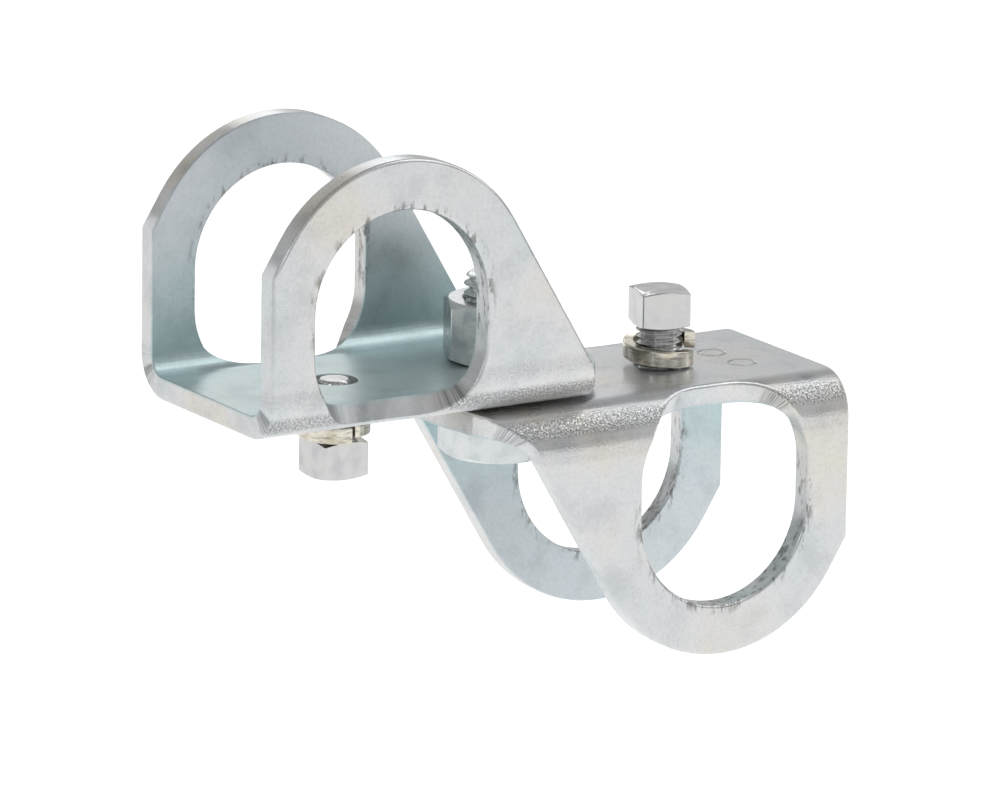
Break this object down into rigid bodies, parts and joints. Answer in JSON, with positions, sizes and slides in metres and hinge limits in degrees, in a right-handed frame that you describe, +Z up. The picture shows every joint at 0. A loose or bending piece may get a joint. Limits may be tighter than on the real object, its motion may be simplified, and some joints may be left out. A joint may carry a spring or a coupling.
{
  "type": "scaffold coupler clamp",
  "caption": "Swivel coupler: pressed U brackets joined web to web by a pivot bolt, each clamping a tube through its eared windows with a square-headed screw.",
  "frame": {"origin": "centre of the lower bracket's tube seat, midway between its ears", "axes": "+Y along the clamped tubes, +Z up along the pivot axis from the lower bracket to the upper, -X from the lower seat to the upper"},
  "size_m": [0.172, 0.066, 0.14],
  "materials": {
    "pressed_plate": "bright zinc plated, satin",
    "fastener": "bright zinc plated",
    "spring_ring": "zinc plated with a warm passivated tint"
  },
  "bodies": {
    "lower_arm": {"lower_bracket": "pressed_plate", "pivot_bolt": "fastener", "pivot_nut": "fastener"},
    "upper_arm": {"upper_bracket": "pressed_plate"},
    "lower_ring": {"lower_lock_washer": "spring_ring"},
    "lower_screw": {"lower_set_screw": "fastener"},
    "upper_ring": {"upper_lock_washer": "spring_ring"},
    "upper_screw": {"upper_set_screw": "fastener"}
  },
  "joints": [
    {"name": "pivot_swivel", "type": "hinge", "parent": "lower_arm", "child": "upper_arm", "pos_m": [-0.0485, 0, 0.0314], "axis": [0, 0, 1], "range_deg": [-116, 116]},
    {"name": "lower_screw_turn", "type": "hinge", "parent": "lower_arm", "child": "lower_ring", "pos_m": [0, 0, 0.0314], "axis": [0, 0, -1], "range_deg": [0, 1195]},
    {"name": "lower_screw_feed", "type": "slide", "parent": "lower_ring", "child": "lower_screw", "axis": [0, 0, -1], "range_m": [0, 0.0058], "deforming": ["lower_lock_washer"]},
    {"name": "upper_screw_turn", "type": "hinge", "parent": "upper_ring", "child": "upper_screw", "pos_m": [-0.097, 0, 0.0326], "axis": [0, 0, 1], "range_deg": [0, 928]},
    {"name": "upper_screw_feed", "type": "slide", "parent": "upper_arm", "child": "upper_ring", "axis": [0, 0, 1], "range_m": [0, 0.0045], "deforming": ["upper_lock_washer"]}
  ],
  "couplings": [
    {"joint": "lower_screw_turn", "follows": "lower_screw_feed", "rad_per_m": 3590.4},
    {"joint": "upper_screw_turn", "follows": "upper_screw_feed", "rad_per_m": 3590.4}
  ]
}
